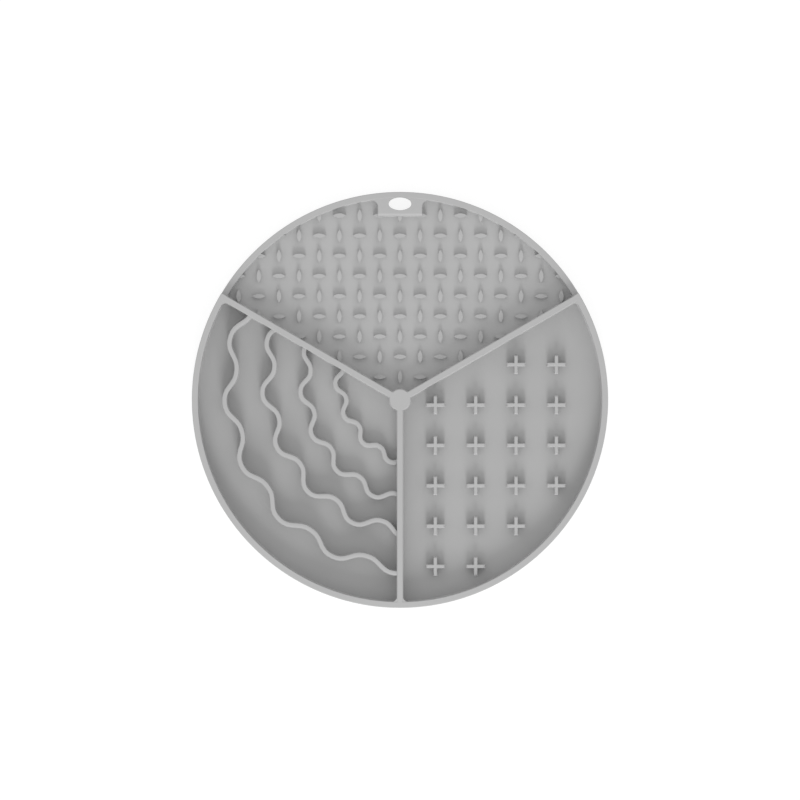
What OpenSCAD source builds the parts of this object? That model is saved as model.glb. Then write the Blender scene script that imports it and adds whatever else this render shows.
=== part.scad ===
// Round lick mat for a pet: a low silicone dish with a hanging tab, split by three dividers into
// one compartment of lens studs, one of wavy ribs and one of crosses, on suction cups.
// Millimetres, +Z up, +Y towards the hanging tab, origin under the centre where the cups rest.

/* [Mat] */
// Outer diameter of the mat
mat_d = 206; // [196:1:216]
// Thickness of the floor
floor_t = 2.5; // [2:0.1:4]

/* [Walls] */
// Width of the rim and of the dividers
wall_w = 3; // [2.8:0.1:4]
// Height above the floor of the dividers and of the rim round the two lower compartments
high_h = 10; // [8:0.5:12]
// Height above the floor of the rim round the top compartment
low_h = 4; // [3.5:0.25:6]
// Bevel along the walls' top edges
edge_w = 0.3; // [0.3:0.1:0.8]
// Size of the concave foot where a wall runs into the floor
foot_r = 0.4; // [0.4:0.1:0.8]
// Corner radius, seen from above, of the two lower compartments
corner_r = 3.2; // [1.6:0.1:4]
// Corner radius, seen from above, of the top compartment beside the dividers
top_corner_r = 2; // [1.5:0.1:3]

/* [Hub] */
// Diameter of the post where the dividers meet
hub_d = 10.5; // [8:0.5:14]
// Corner radius, seen from above, between the post and a divider
hub_corner_r = 2; // [1.2:0.1:2.4]

/* [Hanging tab] */
// Width of the tab
tab_w = 22; // [18:0.5:28]
// Depth of the tab from the mat's outer edge inwards
tab_depth = 11.9; // [11:0.1:15]
// Corner radius, seen from above, between the tab and the rim
tab_corner_r = 4; // [2:0.1:4.2]
// Radius of the tab's top edge on the side of the compartment
tab_edge_r = 1.5; // [0.6:0.1:2]
// Width of the oval hanging hole, across the tab
hole_w = 11.2; // [9:0.1:13]
// Height of the oval hanging hole, along the tab
hole_h = 6.4; // [5:0.1:7]
// Material left between the hole and the mat's outer edge
hole_margin = 2.6; // [2.2:0.1:4]
// End radius of the oval hole
hole_end_r = 2.3; // [2:0.1:2.4]

/* [Wave ribs] */
// Width of a rib
rib_w = 2.2; // [1.6:0.1:2.6]
// Height of the outermost rib above the floor
rib_h = 9.4; // [7:0.1:9.6]
// How much lower each rib is than the one outside it
rib_step_h = 1.5; // [0:0.1:1.6]
// Radius of a rib's top edges
rib_edge_r = 0.25; // [0.2:0.05:0.75]
// Size of the concave foot of a rib
rib_foot_r = 0.3; // [0.2:0.1:0.8]
// Room from the rim to the mean radius of the outermost rib
rib_room = 10; // [9:0.5:14]
// Step in mean radius from one rib to the next
rib_pitch = 15; // [13:0.5:16]
// Waves that a rib would have in a full turn
rib_waves = 18; // [16:1:20]
// Share of a swing by which the waves' bends are made rounder than a sine's
rib_round = 0.065; // [0:0.005:0.09]
// Swing of rib 1 to each side of its mean radius
rib_1_swing = 3.2; // [2:0.1:3.6]
// Swing of rib 2 to each side of its mean radius
rib_2_swing = 3.2; // [2:0.1:3.6]
// Swing of rib 3 to each side of its mean radius
rib_3_swing = 2.7; // [1.5:0.1:3]
// Swing of rib 4 to each side of its mean radius
rib_4_swing = 2.15; // [1.2:0.05:2.4]
// Centre of rib 1
rib_1_centre = [5.8, 6.8]; // [0:0.1:12]
// Centre of rib 2
rib_2_centre = [9.6, 9.7]; // [4:0.1:14]
// Centre of rib 3
rib_3_centre = [13, 9]; // [6:0.1:16]
// Centre of rib 4
rib_4_centre = [14.8, 12]; // [8:0.1:18]

/* [Crosses] */
// Spacing of the crosses, both ways
cross_pitch = 20; // [18:0.5:24]
// First column of crosses, from the mat's centre
cross_x = 17.5; // [14:0.5:20]
// Row of crosses nearest the mat's centre
cross_y = -2.5; // [-6:0.5:0]
// Length of a cross from tip to tip
cross_l = 9.2; // [7:0.1:11]
// Width of a cross's arms
cross_w = 1.7; // [1.4:0.1:2.4]
// Height of a cross above the floor
cross_h = 5.5; // [4:0.25:8]
// Bevel along the top edges of a cross's arms
cross_edge_w = 0.25; // [0.15:0.05:0.6]
// Bevel at the tips of a cross's arms
cross_tip_w = 0.5; // [0.3:0.1:1.5]
// Size of the concave foot of a cross
cross_foot_r = 0.2; // [0.2:0.1:0.6]
// Least room between a cross and a wall
cross_room = 1.5; // [1:0.1:3]

/* [Lens studs] */
// Spacing of the studs, both ways
stud_pitch = 10; // [9:0.25:12]
// First row of studs, from the mat's centre
stud_y = 11.35; // [10.5:0.05:13]
// Length of a stud from point to point
stud_l = 6.5; // [5:0.1:7]
// Width of a stud
stud_w = 2.2; // [1.6:0.1:3]
// Height of a stud above the floor
stud_h = 2.4; // [1.8:0.1:3]
// Fall of a stud's arched top from its middle to its points
stud_fall = 0.2; // [0.15:0.05:1.2]
// Least part of a stud that has to show beside a wall
stud_show = 1; // [0.8:0.1:2]

/* [Suction cups] */
// Diameter of a suction cup at its lip
cup_d = 18; // [14:0.5:22]
// Height of a suction cup
cup_h = 2.5; // [2:0.1:4]
// Diameter of a cup where it leaves the floor
cup_neck_d = 11; // [8:0.5:13]
// Thickness of the lip
cup_lip_t = 0.5; // [0.3:0.1:0.8]
// Width of the lip's flat ring
cup_lip_w = 0.8; // [0.5:0.1:1.2]
// Depth of the cup's hollow
cup_hollow = 1.6; // [1:0.1:1.8]
// Radius of the inner ring of cups
cup_ring_1_r = 40; // [32:1:46]
// Cups in the inner ring
cup_ring_1_n = 6; // [4:1:8]
// Radius of the outer ring of cups
cup_ring_2_r = 80; // [72:1:84]
// Cups in the outer ring
cup_ring_2_n = 12; // [8:1:16]

/* [Hidden] */
$fn = 96;
// Facets of the round floor and rim
round_fn = 240;
silicone = [0.72, 0.72, 0.73];

outer_r = mat_d/2;
rim_in = outer_r - wall_w;
half_w = wall_w/2;
under_z = cup_h;
floor_z = under_z + floor_t;

// Directions of the tab and of the dividers: the top compartment lies between the first two dividers
tab_angle = 90;
sector_half = 60;
right_angle = tab_angle - sector_half;
left_angle = tab_angle + sector_half;
bottom_angle = tab_angle + 180;

// Centre of a concave foot, in sizes of the foot from the wall and from the floor
foot_centre = 1.15;

// How far a corner's filling reaches into the walls that it joins, and how much larger than a tangent round
// its hollow is, so that the hollow meets the walls' faces at a small angle and not in a knife edge
sunk = 0.35*wall_w;
corner_cut = 1.1;

// Edges and feet are limited by the walls and corners that carry them
edge = min(edge_w, wall_w/2 - 0.1);
// The rim's bevel is a little finer, so that it doesn't start at the same height as a divider's
rim_edge = 0.8*edge;
foot = min(foot_r, 0.8*min(corner_r, top_corner_r, tab_corner_r));

// Where a corner ends on the rim, as an angle from the middle of the wall that makes the corner
function corner_angle(half, r) = asin((half + r)/(rim_in - r));
tab_corner_a = corner_angle(tab_w/2, tab_corner_r);

// The tab carries its own stretch of rim, which ends a little past its corners
tab_rim_a = 1.2*tab_corner_a;

// The rim steps down in line with a divider's face, and the room cut for it reaches past the corners
step_a = asin(half_w/rim_in);
room_a = 2*max(corner_angle(half_w, corner_r), corner_angle(half_w, top_corner_r));

// Where the post's corners end on a divider, and where the divider itself starts, from the mat's centre
hub_r = hub_d/2;
hub_corner_x = sqrt((hub_r + hub_corner_r)^2 - (half_w + hub_corner_r)^2);
hub_seam = hub_corner_x + half_w;

// Corners and the tab end half a bevel below the tops of the walls that they join
drop = edge/2;
tab_h = low_h - drop;
tab_in = outer_r - tab_depth;
hole_x = outer_r - hole_margin - hole_h/2;

function unit(a) = [cos(a), sin(a)];

// Sections

// Concave foot in the corner of a wall's face (x = 0) and the floor (y = 0). Its centre lies a little
// outside the foot's square, so the foot meets both at a small angle and not in a knife edge.
module foot_2d(r) {
  lift = foot_centre*r;
  difference() {
    square(r);
    translate([lift, lift]) circle(norm([lift - r, lift]));
  }
}

// Wall standing on y = 0 with top edges bevelled by e, and feet on the sides listed
module wall_2d(w, h, e, f, sides = [-1, 1]) {
  polygon([[-w/2, 0], [w/2, 0], [w/2, h - e], [w/2 - e, h], [e - w/2, h], [-w/2, h - e]]);
  for (s = sides) translate([s*w/2, 0]) mirror([s < 0 ? 1 : 0, 0]) foot_2d(f);
}

// The rim's section in radius and height, from the underside up
module rim_2d(h) {
  translate([outer_r - half_w, floor_z]) wall_2d(wall_w, h, rim_edge, foot, [-1]);
  polygon([
    [rim_in, under_z], [outer_r - edge, under_z], [outer_r, under_z + edge],
    [outer_r, floor_z], [rim_in, floor_z]
  ]);
}

// Half of the post's section, standing on y = 0
module hub_2d() {
  polygon([[0, 0], [hub_r, 0], [hub_r, high_h - edge], [hub_r - edge, high_h], [0, high_h]]);
  translate([hub_r, 0]) foot_2d(foot);
}

// Four arcs that make an oval of width w along x and height h
module oval_2d(w, h, end_r) {
  reach = w/2 - end_r;
  side_r = (reach^2 + (h/2)^2 - end_r^2)/(h - 2*end_r);
  split = side_r*reach/(side_r - end_r);
  intersection() {
    square([2*split, h], center = true);
    translate([0, h/2 - side_r]) circle(side_r);
    translate([0, side_r - h/2]) circle(side_r);
  }
  for (s = [-1, 1]) translate([s*reach, 0]) circle(end_r);
}

// Walls

module rim_arc(from, to, h) {
  rotate(from) rotate_extrude(angle = to - from, $fn = round_fn) rim_2d(h);
}

// Straight wall along +x between two distances from the mat's centre
module bar(from, to, w = wall_w, h = high_h) {
  translate([from, 0, floor_z]) rotate([90, 0, 90]) linear_extrude(to - from) wall_2d(w, h, edge, foot);
}

// The room that the rim takes up near +x, its bevel carried on upwards, for a wall that ends on it
module rim_room() {
  over = floor_z + high_h + wall_w;
  rotate(-room_a) rotate_extrude(angle = 2*room_a, $fn = round_fn) {
    polygon([
      [rim_in, under_z], [outer_r + wall_w, under_z], [outer_r + wall_w, over],
      [rim_in + rim_edge + wall_w, over], [rim_in, floor_z + high_h - rim_edge]
    ]);
    translate([rim_in, floor_z]) mirror([1, 0]) foot_2d(foot);
  }
}

// Fills the corner between a wall along +x, on its side s, and the rim
module rim_corner(s, half, r, h) {
  a = corner_angle(half, r);
  centre = (rim_in - r)*unit(s*a);
  in_wall = half - sunk;
  in_rim = rim_in + sunk;
  difference() {
    translate([0, 0, floor_z]) linear_extrude(h - drop) polygon([
      centre,
      [centre.x, s*in_wall],
      [sqrt(in_rim^2 - in_wall^2), s*in_wall],
      in_rim*unit(s*a)
    ]);
    translate(centre) cylinder(r = corner_cut*r, h = floor_z + 2*h);
  }
}

// Fills the corner between the post and a divider along +x, on its side s
module hub_corner(s) {
  centre = [hub_corner_x, s*(half_w + hub_corner_r)];
  in_wall = half_w - sunk;
  in_hub = hub_r - sunk;
  difference() {
    translate([0, 0, floor_z]) linear_extrude(high_h - drop) polygon([
      centre,
      [hub_corner_x, s*in_wall],
      [sqrt(in_hub^2 - in_wall^2), s*in_wall],
      in_hub*centre/norm(centre)
    ]);
    translate(centre) cylinder(r = corner_cut*hub_corner_r, h = floor_z + 2*high_h);
  }
}

// Divider along +x and its corners with the rim, which is high on the side of -y and has height h and
// corner radius r on the other
module divider(h, r) {
  difference() {
    union() {
      bar(hub_seam, outer_r);
      rim_corner(-1, half_w, corner_r, high_h);
      rim_corner(1, half_w, r, h);
    }
    rim_room();
  }
}

module base_disc() {
  color(silicone) difference() {
    translate([0, 0, under_z]) cylinder(r = rim_in, h = floor_t, $fn = round_fn);
    hanging_hole();
  }
}

module left_rim() {
  color(silicone) rim_arc(left_angle - step_a, bottom_angle, high_h);
}

module right_rim() {
  color(silicone) rim_arc(bottom_angle, right_angle + 360 + step_a, high_h);
}

module top_rim_right() {
  color(silicone) rim_arc(right_angle + step_a, tab_angle - tab_rim_a, low_h);
}

module top_rim_left() {
  color(silicone) rim_arc(tab_angle + tab_rim_a, left_angle - step_a, low_h);
}

module divider_right() {
  color(silicone) rotate(right_angle) divider(low_h, top_corner_r);
}

module divider_left() {
  color(silicone) mirror([1, 0, 0]) rotate(right_angle) divider(low_h, top_corner_r);
}

module divider_bottom() {
  color(silicone) rotate(bottom_angle) divider(high_h, corner_r);
}

module hub_post() {
  color(silicone) {
    translate([0, 0, floor_z]) rotate_extrude() hub_2d();
    for (a = [right_angle, left_angle, bottom_angle]) rotate(a) {
      bar(hub_r/2, hub_seam);
      for (s = [-1, 1]) hub_corner(s);
    }
  }
}

// Hanging tab

module hanging_hole() {
  translate([0, hole_x, under_z - 1]) linear_extrude(floor_t + low_h + 2)
    oval_2d(hole_w, hole_h, hole_end_r);
}

// Block of the tab, standing on the floor with its inner edge rounded
module tab_block() {
  intersection() {
    bar(tab_in, outer_r, tab_w, tab_h);
    translate([0, tab_w, floor_z]) rotate([90, 0, 0]) linear_extrude(2*tab_w) union() {
      translate([tab_in, 0]) square([tab_depth, tab_h - tab_edge_r]);
      translate([tab_in + tab_edge_r, 0]) square([tab_depth, tab_h]);
      translate([tab_in + tab_edge_r, tab_h - tab_edge_r]) circle(tab_edge_r);
    }
  }
  translate([tab_in, tab_w/2, floor_z]) rotate([90, 0, 0]) linear_extrude(tab_w)
    mirror([1, 0]) foot_2d(foot);
}

module tab_corners() {
  for (s = [-1, 1]) rim_corner(s, tab_w/2, tab_corner_r, low_h);
}

module hanging_tab() {
  color(silicone) difference() {
    rotate(tab_angle) {
      intersection() {
        tab_block();
        cylinder(r = rim_in + half_w, h = 2*(floor_z + low_h), $fn = round_fn);
      }
      rim_arc(-tab_rim_a, tab_rim_a, low_h);
      tab_corners();
    }
    hanging_hole();
  }
}

// Wave ribs

rib_swings = [rib_1_swing, rib_2_swing, rib_3_swing, rib_4_swing];
rib_centres = [rib_1_centre, rib_2_centre, rib_3_centre, rib_4_centre];
rib_count = len(rib_swings);
rib_edge = min(rib_edge_r, rib_w/2 - 0.1);
rib_rings = 80;
rib_end_rings = 5;
rib_arc_steps = 2;

// A rib swings to and fro across a circle of its mean radius, as a sine of the angle about its centre with
// some of its third harmonic, which rounds the bends
function rib_mean(i) = rim_in - rib_room - i*rib_pitch;
function rib_height(i) = min(rib_h, high_h - 2*edge) - i*rib_step_h;
function rib_r(i, a) = rib_mean(i) + rib_swings[i]*(sin(rib_waves*a) + rib_round*sin(3*rib_waves*a));
function rib_point(i, a) = rib_centres[i] + rib_r(i, a)*unit(a);
function rib_heading(i, a) =
  let (
    slope = rib_swings[i]*rib_waves*(cos(rib_waves*a) + 3*rib_round*cos(3*rib_waves*a)),
    v = slope*unit(a) + rib_r(i, a)*unit(a + 90)
  ) v/norm(v);
function rib_side(i, a) = let (h = rib_heading(i, a)) [h.y, -h.x];

// Right half of a rib's section from the floor up, as [sideways, height]: concave foot, then round edge
function rib_half(i) = concat(
  [for (j = [0:rib_arc_steps]) let (t = 90*j/rib_arc_steps)
    [rib_w/2 + rib_foot_r*(1 - sin(t)), rib_foot_r*(1 - cos(t))]],
  [for (j = [0:rib_arc_steps]) let (t = 90*j/rib_arc_steps)
    [rib_w/2 - rib_edge*(1 - cos(t)), rib_height(i) - rib_edge*(1 - sin(t))]]
);
half_n = 2*(rib_arc_steps + 1);
section_n = 2*half_n;
function rib_section(i) =
  let (half = rib_half(i)) concat(half, [for (j = [half_n - 1:-1:0]) [-half[j].x, half[j].y]]);

// Angle about the rib's centre at which it meets the face of a divider whose inward normal is m
function rib_end(i, m, out, in, tries = 40) =
  let (mid = (out + in)/2)
  tries == 0 ? mid :
  rib_point(i, mid)*m < half_w ? rib_end(i, m, mid, in, tries - 1) : rib_end(i, m, out, mid, tries - 1);

// How far a divider's foot reaches from its face at a height over the floor
foot_lift = foot_centre*foot;
function foot_reach(z) =
  z >= foot ? 0 : foot_lift - sqrt((foot_lift - foot)^2 + foot_lift^2 - (z - foot_lift)^2);

// A plain ring of a rib, square to its heading
function rib_ring(i, a) = [
  for (q = rib_section(i)) let (p = rib_point(i, a) + q.x*rib_side(i, a)) [p.x, p.y, floor_z + q.y]
];
// Rings from a rib's end, at the angle a, over a stretch: the first is slanted to fit the divider's face and
// foot, and the slant dies away along the stretch
function rib_end_rings(i, a, m, stretch) =
  let (t = rib_heading(i, a), n = rib_side(i, a))
  [for (k = [0:rib_end_rings - 1])
    let (u = k/rib_end_rings, b = a + u*stretch)
    [for (q = rib_section(i))
      let (slant = (1 - u)*(foot_reach(q.y) - q.x*(n*m))/(t*m),
           p = rib_point(i, b) + q.x*rib_side(i, b) + slant*rib_heading(i, b))
      [p.x, p.y, floor_z + q.y]]];
function reversed(list) = [for (k = [len(list) - 1:-1:0]) list[k]];

function ring_faces(k) = [
  for (j = [0:section_n - 1])
    let (next = (j + 1) % section_n, here = k*section_n, there = here + section_n)
    each [[here + j, there + next, there + j], [here + j, here + next, there + next]]
];
function cap_faces(start, flip) = [
  for (j = [0:half_n - 2])
    let (a = start + j, b = start + section_n - 1 - j)
    each flip ? [[a, b - 1, a + 1], [a, b, b - 1]] : [[a, a + 1, b - 1], [a, b - 1, b]]
];

module wave_rib(i) {
  from_left = unit(left_angle + 90);
  from_bottom = unit(bottom_angle - 90);
  first = rib_end(i, from_left, left_angle - sector_half, left_angle + sector_half);
  last = rib_end(i, from_bottom, bottom_angle + sector_half, bottom_angle - sector_half);
  stretch = atan(1.5*(rib_w + foot)/rib_mean(i));
  rings = concat(
    rib_end_rings(i, first, from_left, stretch),
    [for (k = [0:rib_rings]) rib_ring(i, first + stretch + k*(last - first - 2*stretch)/rib_rings)],
    reversed(rib_end_rings(i, last, from_bottom, -stretch))
  );
  ring_n = len(rings);
  faces = concat(
    cap_faces(0, true),
    [for (k = [0:ring_n - 2]) each ring_faces(k)],
    cap_faces((ring_n - 1)*section_n, false)
  );
  color(silicone) polyhedron([for (ring = rings) each ring], faces);
}

// Crosses

// Distance of a point into the right compartment, past the middle of the nearer divider
function right_depth(p) = min(p*unit(right_angle - 90), p*unit(bottom_angle + 90));
cross_clear = cross_l/2 + cross_room;
cross_reach = ceil(outer_r/cross_pitch);
cross_places = [
  for (row = [cross_reach:-1:-cross_reach])
    for (column = [0:cross_reach])
      let (p = [cross_x + column*cross_pitch, cross_y + row*cross_pitch])
      if (right_depth(p) > half_w + cross_clear && norm(p) < rim_in - cross_clear) p
];

module cross_arm() {
  length = cross_l + 2*cross_foot_r;
  width = cross_w + 2*cross_foot_r;
  intersection() {
    translate([-length/2, 0, 0]) rotate([90, 0, 90]) linear_extrude(length)
      wall_2d(cross_w, cross_h, cross_edge_w, cross_foot_r);
    translate([0, width/2, 0]) rotate([90, 0, 0]) linear_extrude(width)
      wall_2d(cross_l, cross_h, cross_tip_w, cross_foot_r);
  }
}

module cross(i) {
  color(silicone) translate([cross_places[i].x, cross_places[i].y, floor_z]) {
    cross_arm();
    rotate(90) cross_arm();
  }
}

// Lens studs

// Radius of a stud's two sides, and of its top, which is arched along the stud
stud_side_r = (stud_l^2 + stud_w^2)/(4*stud_w);
stud_dome_r = ((stud_l/2)^2 + stud_fall^2)/(2*stud_fall);

// Half the stretch of rim that a stud can run into, as an angle
stud_rim_a = atan(stud_l/rim_in);

// Studs stand upright on every second place and lie level on the others
function stud_upright(column, row) = (column + row) % 2 == 0;
function stud_place(column, row) = [column*stud_pitch, stud_y + row*stud_pitch];

// Half the stud's extent along direction n
function stud_half(upright, n) =
  let (m = upright ? [n.y, n.x] : n)
  norm([m.x*stud_l/2, m.y*stud_w/2]);

// How far a stud shows past each wall: the two dividers, the rim, and the tab's front and side
function shows_past_divider(p, upright, a) = p*unit(a) - half_w + stud_half(upright, unit(a));
function shows_past_rim(p, upright) =
  let (by_tab = abs(atan2(p.y, p.x) - tab_angle) < tab_corner_a)
  rim_in - (by_tab ? tab_corner_r : 0) - norm(p) + stud_half(upright, p/norm(p));
function shows_past_tab(p, upright) = max(
  tab_in - p.y + stud_half(upright, [0, 1]),
  abs(p.x) - tab_w/2 + stud_half(upright, [1, 0])
);
function stud_shows(p, upright) = stud_show < min(
  shows_past_divider(p, upright, right_angle + 90),
  shows_past_divider(p, upright, left_angle - 90),
  shows_past_rim(p, upright),
  shows_past_tab(p, upright)
);

stud_columns = floor(outer_r/stud_pitch);
function row_studs(row) = [
  for (column = [-stud_columns:stud_columns])
    if (stud_shows(stud_place(column, row), stud_upright(column, row))) column
];
stud_rows = [for (row = [0:stud_columns]) if (len(row_studs(row)) > 0) row];

module lens_stud() {
  offset = stud_side_r - stud_w/2;
  intersection() {
    translate([0, offset, 0]) cylinder(r = stud_side_r, h = stud_h);
    translate([0, -offset, 0]) cylinder(r = stud_side_r, h = stud_h);
    translate([0, 0, stud_h - stud_dome_r]) rotate([90, 0, 0])
      cylinder(r = stud_dome_r, h = 2*stud_w, center = true, $fn = round_fn);
  }
}

// The top compartment out to the middle of its walls
module top_side() {
  translate([0, 0, floor_z - 1]) linear_extrude(stud_h + 2) intersection() {
    circle(rim_in + half_w, $fn = round_fn);
    polygon([[0, 0], mat_d*unit(right_angle), mat_d*unit(left_angle)]);
  }
}

// The walls that a stud is near enough to run into
module walls_near(p) {
  near = stud_l/2 + foot;
  for (a = [right_angle, left_angle])
    if (abs(p*unit(a + 90)) < half_w + near) rotate(a) bar(0, rim_in);
  if (norm(p) > rim_in - near) rotate(atan2(p.y, p.x)) rim_arc(-stud_rim_a, stud_rim_a, low_h);
  if (p.y > tab_in - near && abs(p.x) < tab_w/2 + near) rotate(tab_angle) {
    tab_block();
    if (norm(p) > rim_in - tab_corner_r - near) tab_corners();
  }
}

module stud_row(row) {
  color(silicone) for (column = row_studs(row)) {
    p = stud_place(column, row);
    difference() {
      intersection() {
        translate([p.x, p.y, floor_z]) rotate(stud_upright(column, row) ? 90 : 0) lens_stud();
        top_side();
      }
      walls_near(p);
    }
  }
}

// Suction cups

// Radius of the ball that leaves a cup's hollow
cup_mouth_r = cup_d/2 - cup_lip_w;
cup_ball_r = (cup_mouth_r^2 + cup_hollow^2)/(2*cup_hollow);

module suction_cup() {
  difference() {
    union() {
      cylinder(d = cup_d, h = cup_lip_t);
      translate([0, 0, cup_lip_t]) cylinder(d1 = cup_d, d2 = cup_neck_d, h = cup_h - cup_lip_t);
    }
    translate([0, 0, cup_hollow - cup_ball_r]) sphere(cup_ball_r);
  }
}

module cup_ring(r, n) {
  color(silicone) for (i = [0:n - 1]) rotate(90 + (i + 0.5)*360/n) translate([r, 0, 0]) suction_cup();
}

module suction_cup_centre() {
  color(silicone) suction_cup();
}

module suction_cups_inner() {
  cup_ring(cup_ring_1_r, cup_ring_1_n);
}

module suction_cups_outer() {
  cup_ring(cup_ring_2_r, cup_ring_2_n);
}

base_disc();
left_rim();
right_rim();
top_rim_left();
top_rim_right();
divider_left();
divider_right();
divider_bottom();
hub_post();
hanging_tab();
for (i = [0:rib_count - 1]) wave_rib(i);
for (i = [0:len(cross_places) - 1]) cross(i);
for (i = [0:len(stud_rows) - 1])
  stud_row(stud_rows[i]);
suction_cup_centre();
suction_cups_inner();
suction_cups_outer();
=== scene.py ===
import math

import bpy
from mathutils import Matrix, Vector

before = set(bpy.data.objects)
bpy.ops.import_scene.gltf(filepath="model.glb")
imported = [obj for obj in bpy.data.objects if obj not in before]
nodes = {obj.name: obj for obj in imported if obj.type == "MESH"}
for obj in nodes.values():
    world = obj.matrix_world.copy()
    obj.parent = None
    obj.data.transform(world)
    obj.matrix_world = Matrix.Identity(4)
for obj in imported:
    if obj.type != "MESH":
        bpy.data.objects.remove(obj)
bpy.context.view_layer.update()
scene = bpy.context.scene
scene.view_settings.view_transform = "Standard"

MM = 0.001

# Sizes of the part's source that the camera and the floor's painted shade follow, in millimetres and degrees
WALL_TOP = 15.0
HALF_W = 1.5
FLOOR_Z = 5.0
RIGHT_A, LEFT_A = 30, 150


# Camera: straight above the mat, with a long lens, so that it sees almost no perspective

PICTURE_PX = 800
MM_PER_PX = 0.4948
# The photograph's frame is centred a tenth of a millimetre below the mat's centre
FRAME_Y = -0.1
LENS = 400.0
SENSOR = 36.0
CLIP_END = 50

frame_width = PICTURE_PX * MM_PER_PX * MM
cam = bpy.data.objects.new("camera", bpy.data.cameras.new("camera"))
scene.collection.objects.link(cam)
cam.data.lens = LENS
cam.data.sensor_width = SENSOR
cam.data.clip_end = CLIP_END
cam.location = (0, FRAME_Y * MM, WALL_TOP * MM + frame_width * LENS / SENSOR)
scene.camera = cam


# Materials

# Grey of the silicone in linear light, and the share by which its clouding strays from that
GREY = 0.475
CLOUD_SHARE = 0.015
CLOUD_SCALE, CLOUD_DETAIL = 38, 4
CLOUD_LOW, CLOUD_HIGH = 0.3, 0.7
# Satin sheen, which varies over the surface
ROUGH_LOW, ROUGH_HIGH = 0.52, 0.68
SHEEN_SCALE = 160
SPECULAR = 0.3
IOR = 1.42
# Fine grain of a blasted mould
GRAIN_SCALE, GRAIN_DETAIL, GRAIN_ROUGHNESS = 2600, 3, 0.6
GRAIN_STRENGTH = 0.12
GRAIN_DEPTH = 0.00006
# Painted shade: the floor's top is darkened in the two lower, deeper compartments in place of the shade their
# walls cast. These are its factor, and the depths in millimetres below the floor's top at which
# # that shade is gone and still full
PAINTED_SHADE = 0.93
PAINTED_SHADE_NONE, PAINTED_SHADE_FULL = 1.0, 0.5


def unit(degrees):
    a = math.radians(degrees)
    return Vector((math.cos(a), math.sin(a)))


def tree_of(mat):
    mat.use_nodes = True
    tree = mat.node_tree
    tree.nodes.clear()
    return tree


class Nodes:
    """Short ways to make and join shader nodes of one tree."""

    def __init__(self, tree):
        self.n, self.links = tree.nodes, tree.links
        self.coord = self.n.new("ShaderNodeTexCoord").outputs["Object"]

    def put(self, value, socket):
        if isinstance(value, bpy.types.NodeSocket):
            self.links.new(value, socket)
        else:
            socket.default_value = value

    def noise(self, scale, detail=3, rough=0.5):
        node = self.n.new("ShaderNodeTexNoise")
        node.inputs["Scale"].default_value = scale
        node.inputs["Detail"].default_value = detail
        node.inputs["Roughness"].default_value = rough
        self.links.new(self.coord, node.inputs["Vector"])
        return node.outputs["Fac"]

    def spread(self, value, low, high, from_low=0.0, from_high=1.0):
        node = self.n.new("ShaderNodeMapRange")
        node.inputs["From Min"].default_value = from_low
        node.inputs["From Max"].default_value = from_high
        node.inputs["To Min"].default_value = low
        node.inputs["To Max"].default_value = high
        self.put(value, node.inputs["Value"])
        return node.outputs["Result"]

    def math(self, operation, a, b):
        node = self.n.new("ShaderNodeMath")
        node.operation = operation
        self.put(a, node.inputs[0])
        self.put(b, node.inputs[1])
        return node.outputs["Value"]

    def dot(self, vector):
        node = self.n.new("ShaderNodeVectorMath")
        node.operation = "DOT_PRODUCT"
        self.links.new(self.coord, node.inputs[0])
        node.inputs[1].default_value = vector
        return node.outputs["Value"]


def with_painted_shade(k, tone):
    """The tone darkened with painted shade on the floor's upper side, below the left and right dividers."""
    left, right = unit(RIGHT_A + 90), unit(LEFT_A - 90)
    # How far a point lies into the top compartment, and a stand-in for that under the floor's top
    inside = k.math("MINIMUM", k.dot((left.x, left.y, 0)), k.dot((right.x, right.y, 0)))
    under = k.spread(k.dot((0, 0, 1)), HALF_W * MM, -HALF_W * MM,
                     (FLOOR_Z - PAINTED_SHADE_NONE) * MM, (FLOOR_Z - PAINTED_SHADE_FULL) * MM)
    inside = k.math("MAXIMUM", inside, under)
    return k.math("MULTIPLY", tone, k.spread(inside, PAINTED_SHADE, 1.0, -HALF_W * MM, HALF_W * MM))


def silicone(name, painted_floor_shade=False):
    """Matte moulded silicone: faint clouding of the grey, a fine blasted grain, and a sheen that varies."""
    mat = bpy.data.materials.new(name)
    k = Nodes(tree_of(mat))
    out = k.n.new("ShaderNodeOutputMaterial")
    bsdf = k.n.new("ShaderNodeBsdfPrincipled")
    k.links.new(bsdf.outputs["BSDF"], out.inputs["Surface"])

    tone = k.spread(k.noise(CLOUD_SCALE, CLOUD_DETAIL), GREY * (1 - CLOUD_SHARE), GREY * (1 + CLOUD_SHARE),
                    CLOUD_LOW, CLOUD_HIGH)
    # With painted_floor_shade, the floor's top in the two lower compartments gets painted shade, darkened in
    # place of the shade of their walls
    if painted_floor_shade:
        tone = with_painted_shade(k, tone)
    colour = k.n.new("ShaderNodeCombineColor")
    for channel in ("Red", "Green", "Blue"):
        k.put(tone, colour.inputs[channel])
    k.links.new(colour.outputs["Color"], bsdf.inputs["Base Color"])

    k.put(k.spread(k.noise(SHEEN_SCALE), ROUGH_LOW, ROUGH_HIGH), bsdf.inputs["Roughness"])
    bsdf.inputs["Specular IOR Level"].default_value = SPECULAR
    bsdf.inputs["IOR"].default_value = IOR

    bump = k.n.new("ShaderNodeBump")
    bump.inputs["Strength"].default_value = GRAIN_STRENGTH
    bump.inputs["Distance"].default_value = GRAIN_DEPTH
    k.put(k.noise(GRAIN_SCALE, GRAIN_DETAIL, GRAIN_ROUGHNESS), bump.inputs["Height"])
    k.links.new(bump.outputs["Normal"], bsdf.inputs["Normal"])
    return mat


# Edges sharper than this many degrees stay sharp, and points nearer than this many metres are welded
SHARP_ANGLE = 30
WELD = 2e-6


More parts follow.
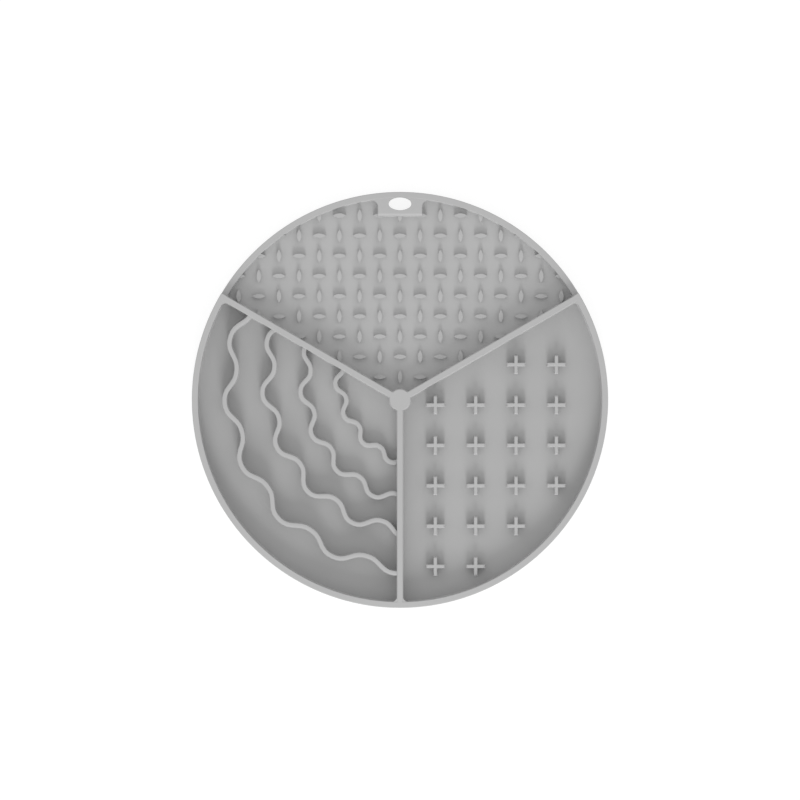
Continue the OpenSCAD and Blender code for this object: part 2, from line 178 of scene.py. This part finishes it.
def smooth_group():
    """Geometry nodes that weld a node's faces and shade them smooth, except across sharp edges."""
    group = bpy.data.node_groups.new("smooth_faces", "GeometryNodeTree")
    for way in ("INPUT", "OUTPUT"):
        group.interface.new_socket("Geometry", in_out=way, socket_type="NodeSocketGeometry")
    n, link = group.nodes, group.links
    weld = n.new("GeometryNodeMergeByDistance")
    weld.inputs["Distance"].default_value = WELD
    edge_angle = n.new("GeometryNodeInputMeshEdgeAngle")
    sharp = n.new("FunctionNodeCompare")
    sharp.data_type = "FLOAT"
    sharp.operation = "GREATER_THAN"
    sharp.inputs["B"].default_value = math.radians(SHARP_ANGLE)
    link.new(edge_angle.outputs["Unsigned Angle"], sharp.inputs["A"])
    faces = n.new("GeometryNodeSetShadeSmooth")
    faces.inputs["Shade Smooth"].default_value = True
    edges = n.new("GeometryNodeSetShadeSmooth")
    edges.domain = "EDGE"
    edges.inputs["Shade Smooth"].default_value = False
    link.new(sharp.outputs["Result"], edges.inputs["Selection"])
    link.new(n.new("NodeGroupInput").outputs[0], weld.inputs["Geometry"])
    link.new(weld.outputs["Geometry"], faces.inputs["Geometry"])
    link.new(faces.outputs["Geometry"], edges.inputs["Geometry"])
    link.new(edges.outputs["Geometry"], n.new("NodeGroupOutput").inputs[0])
    return group


rubber = silicone("silicone")
# The base disc's material carries painted shade on its top in the two lower compartments
floor_rubber_painted_shade = silicone("silicone_floor_painted_shade", painted_floor_shade=True)
smooth = smooth_group()
for name, obj in nodes.items():
    obj.data.materials.clear()
    obj.data.materials.append(floor_rubber_painted_shade if name == "base_disc" else rubber)
    obj.modifiers.new("smooth_faces", "NODES").node_group = smooth


# Stage: a pale floor that the camera sees as white and that keeps the mat's shadow

STAGE_GREY = 0.8
# As the camera and reflections see it: a glow, and a little of the light that falls on it
SEEN_GREY = 0.2
SEEN_GLOW = 0.87
STAGE_HALF = 6.0
# The floor lies a hair under the cups' lips, so that their faces don't flicker through it
STAGE_GAP = 0.00005


def stage_material():
    mat = bpy.data.materials.new("stage_floor")
    tree = tree_of(mat)
    n, link = tree.nodes, tree.links
    out = n.new("ShaderNodeOutputMaterial")
    plain = n.new("ShaderNodeBsdfDiffuse")
    plain.inputs["Color"].default_value = (STAGE_GREY, STAGE_GREY, STAGE_GREY, 1)
    lit = n.new("ShaderNodeBsdfDiffuse")
    lit.inputs["Color"].default_value = (SEEN_GREY, SEEN_GREY, SEEN_GREY, 1)
    glow = n.new("ShaderNodeEmission")
    glow.inputs["Strength"].default_value = SEEN_GLOW
    seen = n.new("ShaderNodeAddShader")
    link.new(lit.outputs["BSDF"], seen.inputs[0])
    link.new(glow.outputs["Emission"], seen.inputs[1])
    path = n.new("ShaderNodeLightPath")
    camera_or_glossy = n.new("ShaderNodeMath")
    camera_or_glossy.operation = "MAXIMUM"
    link.new(path.outputs["Is Camera Ray"], camera_or_glossy.inputs[0])
    link.new(path.outputs["Is Glossy Ray"], camera_or_glossy.inputs[1])
    any_seen = n.new("ShaderNodeMath")
    any_seen.operation = "MAXIMUM"
    link.new(camera_or_glossy.outputs["Value"], any_seen.inputs[0])
    link.new(path.outputs["Is Transmission Ray"], any_seen.inputs[1])
    mix = n.new("ShaderNodeMixShader")
    link.new(any_seen.outputs["Value"], mix.inputs["Fac"])
    link.new(plain.outputs["BSDF"], mix.inputs[1])
    link.new(seen.outputs["Shader"], mix.inputs[2])
    link.new(mix.outputs["Shader"], out.inputs["Surface"])
    return mat


corners = [(-1, -1), (1, -1), (1, 1), (-1, 1)]
floor_mesh = bpy.data.meshes.new("stage_floor")
floor_mesh.from_pydata([(x * STAGE_HALF, y * STAGE_HALF, -STAGE_GAP) for x, y in corners], [], [(0, 1, 2, 3)])
floor_mesh.materials.append(stage_material())
floor = bpy.data.objects.new("stage_floor", floor_mesh)
scene.collection.objects.link(floor)


# Light: an even white dome, as in a light tent, and a low soft box in front that throws the shadows

SKY_STRENGTH = 0.782
FRONT_PLACE = (0.1, -2.14, 1.12)
FRONT_TARGET = (0, 0, 0.01)
FRONT_WIDTH, FRONT_LENGTH = 0.72, 1.2
FRONT_POWER = 28.3


def soft_box(name, place, target, width, length, power):
    data = bpy.data.lights.new(name, "AREA")
    data.shape = "RECTANGLE"
    data.size, data.size_y = width, length
    data.energy = power
    obj = bpy.data.objects.new(name, data)
    obj.location = place
    back = (Vector(place) - Vector(target)).normalized()
    right = Vector((0, 0, 1)).cross(back).normalized()
    obj.rotation_euler = Matrix((right, back.cross(right), back)).transposed().to_euler()
    obj.visible_camera = False
    scene.collection.objects.link(obj)


soft_box("front", FRONT_PLACE, FRONT_TARGET, FRONT_WIDTH, FRONT_LENGTH, FRONT_POWER)

world = bpy.data.worlds.new("studio")
scene.world = world
world.use_nodes = True
sky = world.node_tree.nodes["Background"]
sky.inputs["Color"].default_value = (1, 1, 1, 1)
sky.inputs["Strength"].default_value = SKY_STRENGTH
